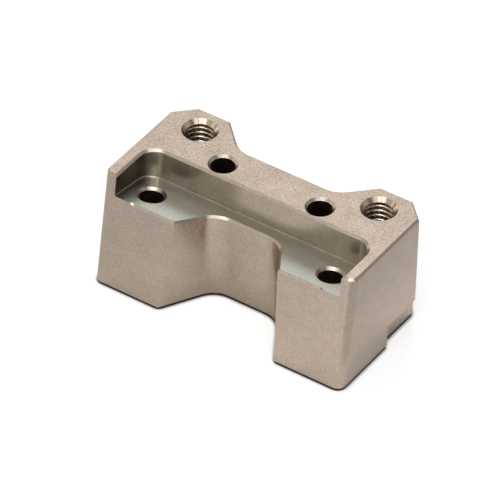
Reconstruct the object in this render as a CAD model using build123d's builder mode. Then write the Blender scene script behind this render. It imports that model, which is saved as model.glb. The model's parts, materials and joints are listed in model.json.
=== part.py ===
from build123d import *
import os
from math import cos, radians, sin, tan

# Machined mounting block, in millimetres.
# X runs along the length, Y runs to the rear and Z is up. The origin is the centre of the
# bounding box at the base. The block is the same on both sides of X = 0.

# Stock
length = 50.0
depth = 26.25  # frontmost point to the upright rear face
height = 22.0
seat_tilt = 8.0  # degrees: the seat slopes down to the rear, and the front face is square to it
front_corner_radius = 1.5
rear_corner_chamfer = 3.5
edge_break = 0.4  # small chamfer on the outer edges

# Stepped seat: a shallow pocket, open to the top and the front
seat_edge_height = 18.0  # the seat's front edge above the base
seat_reach = 9.8  # front face to the pocket's rear wall, along the seat
end_rim = 2.5  # wall left standing at each end of the pocket
seat_corner_radius = 3.0
seat_root_radius = 0.3
seat_break_stop = 3.95  # the front edge break runs out this far short of the rims
chamfer_mill_offset = 0.8  # from the front face out to the axis of the mill that breaks the seat's edge

# Front recess between the two legs, cut upright through the block
leg_width = 13.2  # at the foot of the front face
recess_depth = 9.5  # from the foot of the front face
recess_flare = 30.0  # degrees from Y on each side wall
recess_corner_radius = 4.5

# Rear recess between the two ears, cut upright through the block
ear_width = 9.75  # at the rear face
ear_depth = 5.5
ear_flare = 45.0  # degrees from Y on each side wall
ear_corner_radius = 4.5

# Rebate in each end face, along the base and out at the rear
rebate_depth = 1.0
rebate_height = 4.5
rebate_run = 12.0  # forward from the rear face

# Threaded holes in the ears: M6, drilled to the core of the thread
thread_core_radius = 2.5
thread_sink_radius = 3.2
thread_inset = 7.0  # from the end faces
thread_setback = 5.0  # from the rear face

# Plain holes in the spine: upright, close clearance for M4
clearance_radius = 2.15
clearance_sink_radius = 2.6
spine_hole_spacing = 19.5
spine_hole_setback = 10.3  # from the rear face

# Plain holes in the seat: square to it, same bore as the spine holes
seat_hole_inset = 7.0  # from the end faces
seat_hole_reach = 4.5  # from the front face, along the seat

sink_angle = 90.0
mill_taper = 44.9  # degrees from the mill's axis, a hair under 45 so that the mill keeps a tip
foot_break = 0.3  # chamfer round the spine holes at the base
overcut = 2.0  # how far a cutter runs past the face that it enters
chamfer_mill_overcut = 0.5

# Worked out from the sizes above
tilt = radians(seat_tilt)
front_y = -depth / 2 - edge_break * sin(tilt)  # foot of the front face, before its edge is broken
rear_y = depth / 2
top_front_y = front_y + height * tan(tilt)
seat_half_width = length / 2 - end_rim
seat_plane = Plane(
    origin=(0, front_y + seat_edge_height * tan(tilt), seat_edge_height),
    x_dir=(1, 0, 0),
    z_dir=(0, sin(tilt), cos(tilt)),
)


def recess_corners(face_y, half_mouth, run, flare, toward):
    """Corners of a cut that opens past face_y and narrows over run, in the sense of toward (1 or -1)."""
    slope = tan(radians(flare))
    half_wall = half_mouth - run * slope
    half_outer = half_mouth + overcut * slope
    wall_y = face_y + toward * run
    outer_y = face_y - toward * overcut
    return [(-half_outer, outer_y), (-half_wall, wall_y), (half_wall, wall_y), (half_outer, outer_y)]


# The end mill's path for the stepped seat, with a small radius at its tip
with BuildPart() as seat_cutter:
    with BuildSketch(seat_plane):
        with Locations((0, -overcut)):
            Rectangle(2 * seat_half_width, seat_reach + overcut, align=(Align.CENTER, Align.MIN))
        fillet(vertices().group_by(Axis.Y)[-1], radius=seat_corner_radius)
    extrude(amount=height)
    seat_root = faces().sort_by(Axis(seat_plane.origin, seat_plane.z_dir))[0].edges()
    fillet(seat_root, radius=seat_root_radius)

# The chamfer mill's path along the seat's front edge: a cone carried along X, so each end runs out
with BuildPart() as seat_edge_cutter:
    mill_radius = chamfer_mill_offset + edge_break + chamfer_mill_overcut
    mill_plane = seat_plane.offset(chamfer_mill_overcut)
    with BuildSketch(mill_plane):
        with Locations((0, -chamfer_mill_offset)):
            SlotCenterToCenter(2 * (seat_half_width - seat_break_stop), 2 * mill_radius)
    extrude(amount=-mill_radius, taper=mill_taper)

with BuildPart() as mounting_block:
    # Side profile: level base and top, upright rear, front face leaning back by the tilt
    with BuildSketch(Plane.YZ):
        with BuildLine():
            Polyline((front_y, 0), (rear_y, 0), (rear_y, height), (top_front_y, height), close=True)
        make_face()
    extrude(amount=length / 2, both=True)

    rear_corners = faces().sort_by(Axis.Y)[-1].edges().filter_by(Axis.Z)
    chamfer(rear_corners, length=rear_corner_chamfer)
    front_corners = faces().sort_by(Axis.Y)[0].edges().filter_by(Axis.X, reverse=True)
    fillet(front_corners, radius=front_corner_radius)

    # Recesses between the legs and between the ears
    with BuildSketch(Plane.XY):
        with BuildLine():
            Polyline(
                recess_corners(front_y, length / 2 - leg_width, recess_depth, recess_flare, 1), close=True
            )
        make_face()
        fillet(vertices().group_by(Axis.Y)[-1], radius=recess_corner_radius)
    extrude(amount=height, mode=Mode.SUBTRACT)
    with BuildSketch(Plane.XY):
        with BuildLine():
            Polyline(recess_corners(rear_y, length / 2 - ear_width, ear_depth, ear_flare, -1), close=True)
        make_face()
        fillet(vertices().group_by(Axis.Y)[0], radius=ear_corner_radius)
    extrude(amount=height, mode=Mode.SUBTRACT)

    # Rebates in the end faces
    with BuildSketch(Plane.XY):
        with Locations((-length / 2, rear_y), (length / 2, rear_y)):
            Rectangle(2 * rebate_depth, 2 * rebate_run)
    extrude(amount=rebate_height, mode=Mode.SUBTRACT)

    # Stepped seat
    add(seat_cutter.part, mode=Mode.SUBTRACT)

    # Edge breaks: round the recess at seat level, then the top and the base, then the seat's front
    seat_face = faces().filter_by(lambda face: face.normal_at().dot(seat_plane.z_dir) > 0.9999).sort_by(
        SortBy.AREA
    )[-1]
    recess_rim = seat_face.outer_wire().edges().filter_by(
        lambda edge: abs(edge.center().X) < length / 2 - leg_width
    )
    chamfer(recess_rim, length=edge_break)
    chamfer(faces().sort_by(Axis.Z)[-1].outer_wire().edges(), length=edge_break)
    chamfer(faces().sort_by(Axis.Z)[0].outer_wire().edges(), length=edge_break)
    add(seat_edge_cutter.part, mode=Mode.SUBTRACT)

    # Upright holes
    with Locations((0, rear_y - thread_setback, height)):
        with GridLocations(length - 2 * thread_inset, 0, 2, 1):
            CounterSinkHole(thread_core_radius, thread_sink_radius, counter_sink_angle=sink_angle)
    thread_feet = faces().sort_by(Axis.Z)[0].inner_wires().edges()
    chamfer(thread_feet, length=thread_sink_radius - thread_core_radius)
    with Locations((0, rear_y - spine_hole_setback, height)):
        with GridLocations(spine_hole_spacing, 0, 2, 1):
            CounterSinkHole(clearance_radius, clearance_sink_radius, counter_sink_angle=sink_angle)
    spine_feet = faces().sort_by(Axis.Z)[0].inner_wires().edges().sort_by(SortBy.RADIUS)[:2]
    chamfer(spine_feet, length=foot_break)

    # Seat holes
    with Locations(seat_plane * Location((0, seat_hole_reach, 0))):
        with GridLocations(length - 2 * seat_hole_inset, 0, 2, 1):
            CounterSinkHole(clearance_radius, clearance_sink_radius, counter_sink_angle=sink_angle)

mounting_block.part.label = "mounting_block"

os.makedirs("parts", exist_ok=True)
export_step(mounting_block.part, "parts/mounting_block.step")
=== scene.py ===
import json
import math

import bmesh
import bpy
import numpy as np
from mathutils import Matrix, Vector


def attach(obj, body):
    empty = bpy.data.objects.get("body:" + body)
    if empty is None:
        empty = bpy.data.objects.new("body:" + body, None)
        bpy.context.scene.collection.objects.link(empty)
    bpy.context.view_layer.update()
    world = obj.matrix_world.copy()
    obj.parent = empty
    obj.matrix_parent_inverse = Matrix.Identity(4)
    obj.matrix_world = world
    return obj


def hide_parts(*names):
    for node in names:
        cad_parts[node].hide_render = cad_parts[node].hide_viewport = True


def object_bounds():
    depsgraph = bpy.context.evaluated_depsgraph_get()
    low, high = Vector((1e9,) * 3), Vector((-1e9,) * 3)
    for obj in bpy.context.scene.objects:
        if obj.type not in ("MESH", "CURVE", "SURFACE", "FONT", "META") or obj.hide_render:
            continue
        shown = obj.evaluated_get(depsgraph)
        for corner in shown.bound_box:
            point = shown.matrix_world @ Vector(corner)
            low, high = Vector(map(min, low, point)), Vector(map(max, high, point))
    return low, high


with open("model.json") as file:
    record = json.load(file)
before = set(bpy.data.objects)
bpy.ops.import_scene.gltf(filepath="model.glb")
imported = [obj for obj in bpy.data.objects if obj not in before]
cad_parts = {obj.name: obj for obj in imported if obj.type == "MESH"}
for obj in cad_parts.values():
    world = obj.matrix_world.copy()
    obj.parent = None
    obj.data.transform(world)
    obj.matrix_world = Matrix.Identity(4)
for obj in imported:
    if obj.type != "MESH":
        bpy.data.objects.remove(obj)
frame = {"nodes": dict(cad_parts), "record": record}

cad_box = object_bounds()
MM = 0.001  # the frame is in metres
BLOCK_TOP = cad_box[1].z
TAPPED_HOLES = [mount["pos_m"][:2] for mount in frame["record"]["mounts"] if mount["kind"] == "threaded_hole"]
FULL_TURN = 2 * math.pi

# ---------------------------------------------------------------- the two M6 threads, in metres
PITCH = 1.0 * MM
CORE_RADIUS = 2.5 * MM  # the tapping drill's
ROOT_RADIUS = 3.0 * MM  # at the bottom of the groove
SINK_RADIUS = 3.2 * MM  # the countersinks' wide end
SINK_DEPTH = SINK_RADIUS - CORE_RADIUS  # they are 45 degree cones
CREST_ROUND = 0.25 * MM
FLANK_TURN = math.radians(60.0)  # how far the rounded crest turns before its straight flank
FADE = 0.45 * MM  # the groove has its full depth from this far past a countersink
THREAD_START = 0.05  # turns from the top face down to the first crest, at the +X side
CREST_ROWS = 9
FLANK_ROWS = 3
RIM_CUTS = 1  # cuts in each edge of a hole's rim, for a rounder thread
HOLE_REACH = SINK_RADIUS * 1.005  # takes in a hole's rim and nothing outside it

# Mesh work: points this close are one, faces this level are one, and edges that turn more are sharp
SAME_POINT = 1e-7
SAME_RIM_POINT = 2e-7
NEARLY_FLAT = math.radians(0.15)
BLOCK_SHARP = math.radians(14.0)
THREAD_SHARP = math.radians(33.0)


def merged_block():
    """A copy of the CAD block with its loose triangles joined along their shared edges."""
    work = bmesh.new()
    work.from_mesh(frame["nodes"]["mounting_block"].data)
    bmesh.ops.remove_doubles(work, verts=work.verts, dist=SAME_POINT)
    bmesh.ops.dissolve_limit(work, angle_limit=NEARLY_FLAT, verts=work.verts, edges=work.edges)
    return work


def thread_radius(turn, depth):
    """Radius of a tapped wall. With s the distance along the axis from the nearest crest, the rounded
    crest is core + R - sqrt(R squared - s squared) as far as its 60 degree tangents, the flanks run
    straight on from there, and the root is flat at the root radius. The groove fades evenly out over the
    fade's length before each countersink."""
    from_crest = np.abs((turn + 0.5) % 1.0 - 0.5) * PITCH
    tangent = CREST_ROUND * math.sin(FLANK_TURN)
    crest = CREST_ROUND - np.sqrt(CREST_ROUND ** 2 - np.minimum(from_crest, tangent) ** 2)
    flank = np.maximum(from_crest - tangent, 0.0) * math.tan(FLANK_TURN)
    from_sink = np.minimum(depth, BLOCK_TOP - depth) - SINK_DEPTH
    full = np.clip(from_sink / FADE, 0.0, 1.0)
    return CORE_RADIUS + full * np.minimum(crest + flank, ROOT_RADIUS - CORE_RADIUS)


def thread_rows():
    """Rows of the thread grid, in turns from the top. They are the same in every turn, so the grid's two
    ends meet: steps of equal turning round the crest, then the flank's middle and the root's edges."""
    turns = BLOCK_TOP / PITCH
    crest = CREST_ROUND / PITCH * np.sin(np.linspace(-FLANK_TURN, FLANK_TURN, CREST_ROWS))
    flank_rise = ROOT_RADIUS - CORE_RADIUS - CREST_ROUND * (1 - math.cos(FLANK_TURN))
    root = crest[-1] + flank_rise / math.tan(FLANK_TURN) / PITCH
    flank = np.linspace(crest[-1], root, FLANK_ROWS + 1)[1:]
    one_turn = np.concatenate([crest, flank, 1.0 - flank])
    return np.sort((np.arange(-1, turns + 2)[:, None] + one_turn).ravel())


def tapped_wall(x, y, angles):
    """Grid down a tapped hole: column a is an angle, and each row follows the helix, so its depth is
    (row + start - angle / full turn) pitches, held between the two countersinks. One more row at each
    face of the block, at the sink radius, makes the 45 degree countersinks."""
    row, angle = np.meshgrid(thread_rows(), angles, indexing="ij")
    lead = THREAD_START - angle / FULL_TURN
    depth = np.clip((row + lead) * PITCH, SINK_DEPTH, BLOCK_TOP - SINK_DEPTH)
    radius = thread_radius(depth / PITCH - lead, depth)
    depth = np.pad(depth, ((1, 1), (0, 0)), constant_values=((0.0, BLOCK_TOP), (0.0, 0.0)))
    radius = np.pad(radius, ((1, 1), (0, 0)), constant_values=SINK_RADIUS)
    angle = np.pad(angle, ((1, 1), (0, 0)), mode="edge")
    return np.stack([x + radius * np.cos(angle), y + radius * np.sin(angle), BLOCK_TOP - depth], -1)


def open_hole(work, x, y):
    """Takes a smooth hole's wall and cones off the block, rounds its two rims to the sink radius and gives
    the angles of the top rim's points, all the way round."""
    def near(verts):
        return all(math.hypot(v.co.x - x, v.co.y - y) < HOLE_REACH for v in verts)

    bmesh.ops.delete(work, geom=[f for f in work.faces if near(f.verts)], context="FACES")
    rims = [e for e in work.edges if e.is_boundary and near(e.verts)]
    bmesh.ops.subdivide_edges(work, edges=rims, cuts=RIM_CUTS)
    angles = []
    for vert in [v for v in work.verts if v.is_boundary and near([v])]:
        angle = math.atan2(vert.co.y - y, vert.co.x - x)
        vert.co.x = x + SINK_RADIUS * math.cos(angle)
        vert.co.y = y + SINK_RADIUS * math.sin(angle)
        if vert.co.z > BLOCK_TOP / 2:
            angles.append(angle)
    return np.append(np.sort(angles), min(angles) + FULL_TURN)


def grid_mesh(name, grid):
    """A mesh of quads between neighbouring rows and columns of a grid of points."""
    rows, columns = grid.shape[:2]
    index = np.arange(rows * columns).reshape(rows, columns)
    quads = np.stack([index[:-1, :-1], index[1:, :-1], index[1:, 1:], index[:-1, 1:]], -1).reshape(-1, 4)
    mesh = bpy.data.meshes.new(name)
    mesh.vertices.add(rows * columns)
    mesh.vertices.foreach_set("co", grid.reshape(-1))
    mesh.loops.add(quads.size)
    mesh.loops.foreach_set("vertex_index", quads.reshape(-1))
    mesh.polygons.add(len(quads))
    mesh.polygons.foreach_set("loop_start", np.arange(0, quads.size, 4))
    mesh.update(calc_edges=True)
    return mesh


def mark_sharp_edges(mesh):
    """Marks the edges that turn by more than a curved face's small steps, so flat faces shade flat. The
    threads' rounded crests take larger steps than the block's own curves."""
    count = len(mesh.polygons)
    centres, normals = np.empty(count * 3), np.empty(count * 3)
    mesh.polygons.foreach_get("center", centres)
    mesh.polygons.foreach_get("normal", normals)
    centres, normals = centres.reshape(-1, 3), normals.reshape(-1, 3)
    sides, edge_of_side = np.empty(count, int), np.empty(len(mesh.loops), int)
    mesh.polygons.foreach_get("loop_total", sides)
    mesh.loops.foreach_get("edge_index", edge_of_side)
    face_of_side = np.repeat(np.arange(count), sides)
    pairs = face_of_side[np.argsort(edge_of_side, kind="stable")].reshape(-1, 2)
    in_thread = np.zeros(count, bool)
    for x, y in TAPPED_HOLES:
        in_thread |= np.hypot(centres[:, 0] - x, centres[:, 1] - y) < SINK_RADIUS
    in_thread &= np.abs(centres[:, 2] - BLOCK_TOP / 2) < BLOCK_TOP / 2 - SINK_DEPTH
    limit = np.where(in_thread[pairs].all(axis=1), math.cos(THREAD_SHARP), math.cos(BLOCK_SHARP))
    sharp = (normals[pairs[:, 0]] * normals[pairs[:, 1]]).sum(axis=1) < limit
    mesh.attributes.new("sharp_edge", "BOOLEAN", "EDGE").data.foreach_set("value", sharp)


def make_tapped_block():
    """The block with its two smooth ear holes given their M6 threads, as one closed mesh."""
    work = merged_block()
    for x, y in TAPPED_HOLES:
        wall = grid_mesh("thread", tapped_wall(x, y, open_hole(work, x, y)))
        work.from_mesh(wall)
        bpy.data.meshes.remove(wall)
    bmesh.ops.remove_doubles(work, verts=work.verts, dist=SAME_RIM_POINT)
    bmesh.ops.dissolve_degenerate(work, edges=work.edges, dist=SAME_POINT)
    bmesh.ops.delete(work, geom=[v for v in work.verts if not v.link_faces], context="VERTS")
    bmesh.ops.recalc_face_normals(work, faces=work.faces)
    mesh = bpy.data.meshes.new("tapped_block")
    work.to_mesh(mesh)
    work.free()
    mesh.shade_smooth()
    mark_sharp_edges(mesh)
    piece = bpy.data.objects.new("tapped_block", mesh)
    bpy.context.collection.objects.link(piece)
    weigh = piece.modifiers.new("flat_faces_lead", "WEIGHTED_NORMAL")
    weigh.keep_sharp = True
    weigh.weight = 80
    return piece


# ---------------------------------------------------------------- finish
class Graph:
    """Short calls for a material's nodes. A value is a number, a colour or another node's output."""

    def __init__(self, name):
        self.material = bpy.data.materials.new(name)
        self.material.use_nodes = True
        self.nodes = self.material.node_tree.nodes
        self.links = self.material.node_tree.links
        self.shader = self.nodes["Principled BSDF"]

    def feed(self, socket, value):
        """Links an output to a socket, or sets a plain number or colour on it."""
        if isinstance(value, bpy.types.NodeSocket):
            self.links.new(value, socket)
        else:
            socket.default_value = value

    def math(self, operation, *values):
        node = self.nodes.new("ShaderNodeMath")
        node.operation = operation
        for socket, value in zip(node.inputs, values):
            self.feed(socket, value)
        return node.outputs[0]

    def total(self, first, *others):
        for other in others:
            first = self.math("ADD", first, other)
        return first

    def product(self, first, *others):
        for other in others:
            first = self.math("MULTIPLY", first, other)
        return first

    def size(self, value):
        return self.math("ABSOLUTE", value)

    def length(self, first, second):
        """The long side of a right triangle: the square root of the sum of the two squares."""
        squares = self.total(self.product(first, first), self.product(second, second))
        return self.math("POWER", squares, 0.5)

    def stretch(self, vector, by):
        node = self.nodes.new("ShaderNodeVectorMath")
        node.operation = "MULTIPLY"
        self.links.new(vector, node.inputs[0])
        node.inputs[1].default_value = by
        return node.outputs[0]

    def split(self, vector):
        node = self.nodes.new("ShaderNodeSeparateXYZ")
        self.links.new(vector, node.inputs[0])
        return node.outputs

    def span(self, value, low, high, to_low=0.0, to_high=1.0):
        """Maps low..high to to_low..to_high and holds the ends."""
        node = self.nodes.new("ShaderNodeMapRange")
        for socket, number in zip(node.inputs, (value, low, high, to_low, to_high)):
            self.feed(socket, number)
        return node.outputs[0]

    def noise(self, place, per_mm, detail):
        node = self.nodes.new("ShaderNodeTexNoise")
        self.links.new(place, node.inputs["Vector"])
        node.inputs["Scale"].default_value = per_mm
        node.inputs["Detail"].default_value = detail
        return node.outputs["Fac"]

    def openness(self, reach, shut, clear, most):
        """0 where the surroundings shut a spot in within the reach, rising to the most where it is open."""
        node = self.nodes.new("ShaderNodeAmbientOcclusion")
        node.inputs["Distance"].default_value = reach
        return self.span(node.outputs["AO"], shut, clear, 0.0, most)

    def mix(self, amount, first, second):
        node = self.nodes.new("ShaderNodeMix")
        node.data_type = "RGBA"
        for socket, value in zip((node.inputs[0], node.inputs[6], node.inputs[7]), (amount, first, second)):
            self.feed(socket, value)
        return node.outputs[2]


# The block's zones, in millimetres
EDGE_BREAK = 0.4
POCKET_HALF = 22.5  # from the block's middle to each end wall
POCKET_CORNER = 3.0
POCKET_BACK = -1.0  # the rear wall's place, at the seat
SEAT_SLOPE = math.tan(math.radians(8.0))
SEAT_LEVEL = 16.5  # height of the seat's plane, carried on to the block's middle
TOP_LEVEL = BLOCK_TOP / MM
TAPPED_ASIDE = abs(TAPPED_HOLES[0][0]) / MM
TAPPED_BEHIND = TAPPED_HOLES[0][1] / MM
TAPPED_RADIUS = SINK_RADIUS / MM + 0.05

# Finish
STEEL_DARK, STEEL_LIGHT = (0.488, 0.400, 0.324, 1.0), (0.682, 0.559, 0.454, 1.0)
# The seat's cooler, lighter tone is a painted sheen, standing in for the cool light it reflects
SEAT_PAINTED_SHEEN_DARK, SEAT_PAINTED_SHEEN_LIGHT = (0.485, 0.492, 0.430, 1.0), (0.605, 0.614, 0.538, 1.0)
# Painted shade: the pocket's end walls are darkened toward this colour, by this share
END_WALL_PAINTED_SHADE, END_WALL_SHADE_SHARE = (0.10, 0.085, 0.07, 1.0), 0.85
GRAIN_PER_MM, BLOTCH_PER_MM = 2.6, 0.35
NOISE_LOW, NOISE_HIGH = 0.3, 0.7  # most of a noise lies between these
MILL_ROUND_STEP = 0.62  # millimetres from one round on the seat to the next
ROUND_HEIGHT, PASS_HEIGHT = 0.30, 1.5  # against the grain's
PASS_STRETCH = (0.10, 0.10, 1.6)  # long and level


def block_zones(g, x, y, z, facing):
    """Where each finish lies, as 0 to 1, and where the painted shade goes. The pocket's walls are steep and
    stand above the sloping seat, between the rims and in front of the middle, and the end walls among them
    face sideways and get painted shade. The seat faces up and lies below the top face, bevels and cones face
    halfway up, and the threads lie within the countersinks' radius of the tapped holes' axes."""
    sideways, _, upward = facing
    pocket = g.product(
        g.span(g.total(z, g.product(y, SEAT_SLOPE)), SEAT_LEVEL + 0.03, SEAT_LEVEL + 0.10),
        g.span(upward, 0.5, 0.3),
        g.math("LESS_THAN", g.size(x), POCKET_HALF + EDGE_BREAK),
        g.math("LESS_THAN", y, 0.0),
    )
    from_axis = g.length(
        g.math("SUBTRACT", g.size(x), TAPPED_ASIDE),
        g.math("SUBTRACT", y, TAPPED_BEHIND),
    )
    return {
        "pocket wall": pocket,
        # where the painted shade goes: the pocket's sideways-facing end walls
        "end wall": g.product(pocket, g.span(g.size(sideways), 0.6, 0.95)),
        "seat": g.product(g.span(upward, 0.9, 0.97), g.span(z, TOP_LEVEL - 2.0, TOP_LEVEL - 3.0)),
        "bevel": g.product(g.span(upward, 0.25, 0.35), g.span(upward, 0.95, 0.90)),
        "upright": g.span(g.size(upward), 0.3, 0.15),
        "thread": g.math("LESS_THAN", from_axis, TAPPED_RADIUS),
    }


def seat_rounds(g, x, y):
    """The cutter's rounds on the seat: a sine of how far a spot lies from the pocket's outline. Counted
    from the lines through the corner arcs' centres, that is the square root of the sum of the squares of
    the two reaches past the lines, where there are any, and otherwise the larger of the two, which is then
    below zero."""
    past_end = g.math("SUBTRACT", g.size(x), POCKET_HALF - POCKET_CORNER)
    past_back = g.math("SUBTRACT", y, POCKET_BACK - POCKET_CORNER)
    outside = g.length(g.math("MAXIMUM", past_end, 0.0), g.math("MAXIMUM", past_back, 0.0))
    inside = g.math("MINIMUM", g.math("MAXIMUM", past_end, past_back), 0.0)
    return g.math("SINE", g.product(g.total(outside, inside), FULL_TURN / MILL_ROUND_STEP))


def milled_steel():
    """Satin milled steel, warm grey: a fine grain over it all, faint level passes of the side mill on the
    upright faces, and on the seat the cutter's rounds, which run parallel to the pocket's walls. The seat is
    painted a cooler, lighter tone as a painted sheen, and the pocket's end walls are painted darker as
    painted shade."""
    g = Graph("satin_milled_steel")
    place = g.nodes.new("ShaderNodeTexCoord")
    spot = g.stretch(place.outputs["Object"], (1 / MM, 1 / MM, 1 / MM))
    x, y, z = g.split(spot)
    zone = block_zones(g, x, y, z, g.split(place.outputs["Normal"]))
    blotch = g.noise(spot, BLOTCH_PER_MM, 3.0)
    grain = g.noise(spot, GRAIN_PER_MM, 3.0)

    def from_noise(noise, least, most):
        return g.span(noise, NOISE_LOW, NOISE_HIGH, least, most)

    tone = g.total(from_noise(blotch, 0.0, 0.3), from_noise(grain, 0.0, 0.7))
    # Painted sheen: the seat takes its own cooler, lighter tone
    colour = g.mix(zone["seat"], g.mix(tone, STEEL_DARK, STEEL_LIGHT), g.mix(tone, SEAT_PAINTED_SHEEN_DARK, SEAT_PAINTED_SHEEN_LIGHT))
    # Painted shade: the pocket's sideways-facing end walls are darkened
    colour = g.mix(g.product(zone["end wall"], END_WALL_SHADE_SHARE), colour, END_WALL_PAINTED_SHADE)
    roughness = g.total(
        from_noise(grain, 0.0, 0.05),
        from_noise(blotch, 0.20, 0.24),
        g.product(zone["seat"], 0.07),
        g.product(zone["bevel"], 0.08),
        g.product(zone["pocket wall"], 0.06),
        g.product(zone["thread"], -0.07),
    )
    passes = g.noise(g.stretch(spot, PASS_STRETCH), 1.0, 1.0)
    height = g.total(
        grain,
        g.product(seat_rounds(g, x, y), zone["seat"], ROUND_HEIGHT),
        g.product(passes, zone["upright"], PASS_HEIGHT),
    )
    bump = g.nodes.new("ShaderNodeBump")
    bump.inputs["Strength"].default_value = 0.06
    bump.inputs["Distance"].default_value = 0.04 * MM
    g.feed(bump.inputs["Height"], g.product(height, g.math("SUBTRACT", 1.0, zone["thread"])))
    g.shader.inputs["Metallic"].default_value = 1.0
    g.feed(g.shader.inputs["Base Color"], colour)
    g.feed(g.shader.inputs["Roughness"], roughness)
    g.feed(g.shader.inputs["Normal"], bump.outputs["Normal"])
    return g.material


block = make_tapped_block()
block.data.materials.append(milled_steel())
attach(block, "root")
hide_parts("mounting_block")


# ---------------------------------------------------------------- floor, light and camera
FLOOR_HALF = 3.0
FLOOR_DROP = 0.02 * MM  # keeps the floor just clear of the block's base
FLOOR_GREY, CONTACT_PAINTED_SHADOW = (0.8, 0.8, 0.8, 1.0), (0.06, 0.05, 0.05, 1.0)
WHITE, WARM_WHITE = (1.0, 1.0, 1.0, 1.0), (1.0, 0.97, 0.96, 1.0)
SEEN_GLOW = 0.60  # what the floor adds to its lit grey before the camera
MIRRORED_GLOW = 0.236  # how bright the floor shows in the metal


def make_floor():
    """A wide white floor under the block. It shows white to the camera and in the metal. Where the block
    stands close over it, its glow drops and its grey is painted darker, a painted contact shadow. In the
    metal it is dimmer toward the left and past the right end."""
    corners = [(-1, -1), (1, -1), (1, 1), (-1, 1)]
    mesh = bpy.data.meshes.new("floor")
    mesh.from_pydata([(FLOOR_HALF * x, FLOOR_HALF * y, -FLOOR_DROP) for x, y in corners], [], [(0, 1, 2, 3)])
    floor = bpy.data.objects.new("floor", mesh)
    bpy.context.collection.objects.link(floor)
    g = Graph("white_floor")
    path = g.nodes.new("ShaderNodeLightPath").outputs
    across = g.split(g.nodes.new("ShaderNodeTexCoord").outputs["Object"])[0]
    to_camera = g.product(path["Is Camera Ray"], g.openness(1.2 * MM, 0.45, 0.85, SEEN_GLOW))
    to_metal = g.product(
        path["Is Glossy Ray"],
        g.openness(12.0 * MM, 0.38, 0.78, MIRRORED_GLOW),
        g.span(across, -30 * MM, 15 * MM, 0.53, 1.38),
        g.span(across, 29 * MM, 37 * MM, 1.0, 0.30),
    )
    # Painted contact shadow: the floor's grey is darkened where the block stands close over it
    shade = g.mix(g.openness(0.8 * MM, 0.45, 0.85, 1.0), CONTACT_PAINTED_SHADOW, FLOOR_GREY)
    g.feed(g.shader.inputs["Base Color"], shade)
    g.shader.inputs["Roughness"].default_value = 0.9
    g.shader.inputs["Specular IOR Level"].default_value = 0.0
    g.feed(g.shader.inputs["Emission Color"], g.mix(path["Is Camera Ray"], WARM_WHITE, WHITE))
    g.feed(g.shader.inputs["Emission Strength"], g.total(to_camera, to_metal))
    mesh.materials.append(g.material)


def make_world():
    """A dark room round the softboxes."""
    world = bpy.data.worlds.new("studio")
    world.use_nodes = True
    world.node_tree.nodes["Background"].inputs["Color"].default_value = (0.0, 0.0, 0.0, 1.0)
    bpy.context.scene.world = world


LAMP_DISTANCE = 0.8
LAMP_AIM = Vector((0.0, 0.0, 0.01))
LAMPS = [
    # name, azimuth, elevation, width, height, brightness, colour
    ("rear_softbox", 213, 41, 0.30, 0.20, 0.75, (1.00, 1.00, 0.99)),
    ("low_rear_softbox", 213, 26, 0.36, 0.20, 1.49, (0.98, 1.00, 0.99)),
    ("high_rear_softbox", 213, 55, 0.27, 0.19, 3.87, (1.00, 1.00, 0.99)),
    ("top_rear_softbox", 213, 71, 0.26, 0.25, 0.97, (1.00, 1.00, 1.00)),
    ("key_softbox", 33, 71, 0.26, 0.25, 4.91, (1.00, 0.99, 0.99)),
    ("front_softbox", 357, 55, 0.27, 0.19, 4.89, (0.96, 0.99, 1.00)),
    ("right_softbox", 69, 55, 0.27, 0.19, 2.94, (0.94, 0.98, 1.00)),
    ("front_right_softbox", 33, 50, 0.18, 0.12, 4.80, (0.98, 1.00, 0.98)),
    ("front_left_softbox", 321, 55, 0.27, 0.19, 0.94, (0.96, 1.00, 0.99)),
    ("low_front_left_softbox", 327, 40, 0.15, 0.11, 1.50, (1.00, 0.98, 0.93)),
    ("left_softbox", 303, 26, 0.36, 0.20, 1.70, (1.00, 0.97, 0.95)),
    ("far_left_softbox", 258, 26, 0.50, 0.24, 0.50, (1.00, 0.97, 0.95)),
    ("side_left_softbox", 285, 55, 0.27, 0.19, 0.81, (1.00, 0.99, 0.96)),
    ("level_left_softbox", 273, 10, 0.52, 0.24, 1.40, (1.00, 0.96, 0.91)),
    ("upper_left_softbox", 303, 41, 0.30, 0.20, 0.50, (0.90, 1.00, 0.90)),
    ("rear_right_softbox", 123, 41, 0.30, 0.20, 0.75, (0.93, 1.00, 1.00)),
    ("low_rear_right_softbox", 132, 26, 0.45, 0.20, 0.60, (1.00, 0.97, 0.92)),
    ("side_right_softbox", 93, 41, 0.30, 0.20, 0.27, (0.74, 0.89, 1.00)),
    ("overhead_softbox", 0, 89.9, 0.28, 0.28, 0.35, (0.94, 0.94, 1.00)),
    ("low_front_card", 15, 18, 0.80, 0.26, 0.40, (1.00, 1.00, 1.00)),
    ("low_right_card", 75, 18, 0.80, 0.26, 0.32, (1.00, 1.00, 1.00)),
    ("low_rear_card", 168, 15, 0.80, 0.20, 0.30, (1.00, 1.00, 1.00)),
]


def direction(azimuth, elevation):
    """Out from the block: azimuth 0 is in front of it, 90 at its right end and 180 behind it."""
    level = math.cos(elevation)
    return Vector((math.sin(azimuth) * level, -math.cos(azimuth) * level, math.sin(elevation)))


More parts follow.
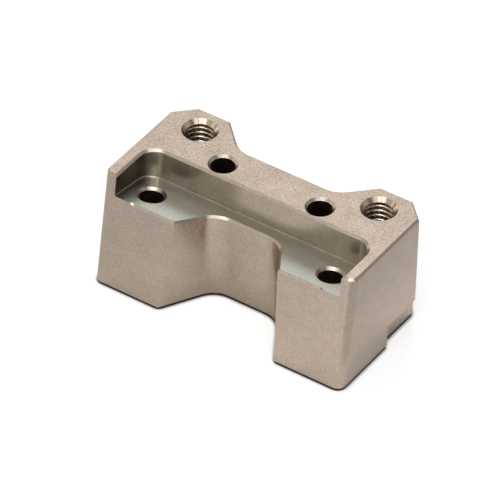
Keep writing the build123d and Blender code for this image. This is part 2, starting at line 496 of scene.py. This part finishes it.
def make_lamps():
    """Softboxes and dim cards round the block, each facing it. Brightness times pi times the area gives a
    lamp's power."""
    for name, azimuth, elevation, width, height, brightness, colour in LAMPS:
        toward = direction(math.radians(azimuth), math.radians(elevation))
        lamp = bpy.data.lights.new(name, "AREA")
        lamp.shape = "RECTANGLE"
        lamp.size, lamp.size_y = width, height
        lamp.energy = brightness * math.pi * width * height
        lamp.color = colour
        holder = bpy.data.objects.new(name, lamp)
        holder.location = LAMP_AIM + toward * LAMP_DISTANCE
        holder.rotation_mode = "QUATERNION"
        holder.rotation_quaternion = toward.to_track_quat("Z", "Y")
        bpy.context.collection.objects.link(holder)


CAMERA_AZIMUTH, CAMERA_ELEVATION, CAMERA_ROLL = math.radians(32.70), math.radians(39.89), math.radians(-1.70)
CAMERA_DISTANCE = 0.9302
CAMERA_AIM = Vector((0.0, cad_box[0].y + 13.87 * MM, 11.5 * MM))
LENS, FILM_WIDTH = 398.88, 36.0  # millimetres
AIM_ON_FILM = Vector((0.89136, 0.77256))  # the aim shows this far right of and above the film's middle


def make_camera():
    """A long lens, looking down at the front and the right end. Before the roll the picture's sideways
    direction is level. The lens points to the left of the aim and below it by as much as the aim is to
    show right of and above the film's middle, turned by the roll."""
    back = direction(CAMERA_AZIMUTH, CAMERA_ELEVATION)
    right = Vector((math.cos(CAMERA_AZIMUTH), math.sin(CAMERA_AZIMUTH), 0.0))
    up = back.cross(right)
    past = Matrix.Rotation(CAMERA_ROLL, 2) @ AIM_ON_FILM
    look = (-back * LENS - right * past.x - up * past.y).normalized()
    rolled = right * math.cos(CAMERA_ROLL) - up * math.sin(CAMERA_ROLL)
    side = (rolled - look * rolled.dot(look)).normalized()
    turn = Matrix((side, side.cross(look), -look)).transposed().to_4x4()
    camera = bpy.data.cameras.new("camera")
    camera.sensor_width = FILM_WIDTH
    camera.lens = LENS
    camera.clip_start, camera.clip_end = 0.05, 20.0
    viewer = bpy.data.objects.new("camera", camera)
    viewer.matrix_world = Matrix.Translation(CAMERA_AIM + back * CAMERA_DISTANCE) @ turn
    bpy.context.collection.objects.link(viewer)
    bpy.context.scene.camera = viewer


make_floor()
make_world()
make_lamps()
make_camera()
bpy.context.scene.view_settings.view_transform = "Standard"
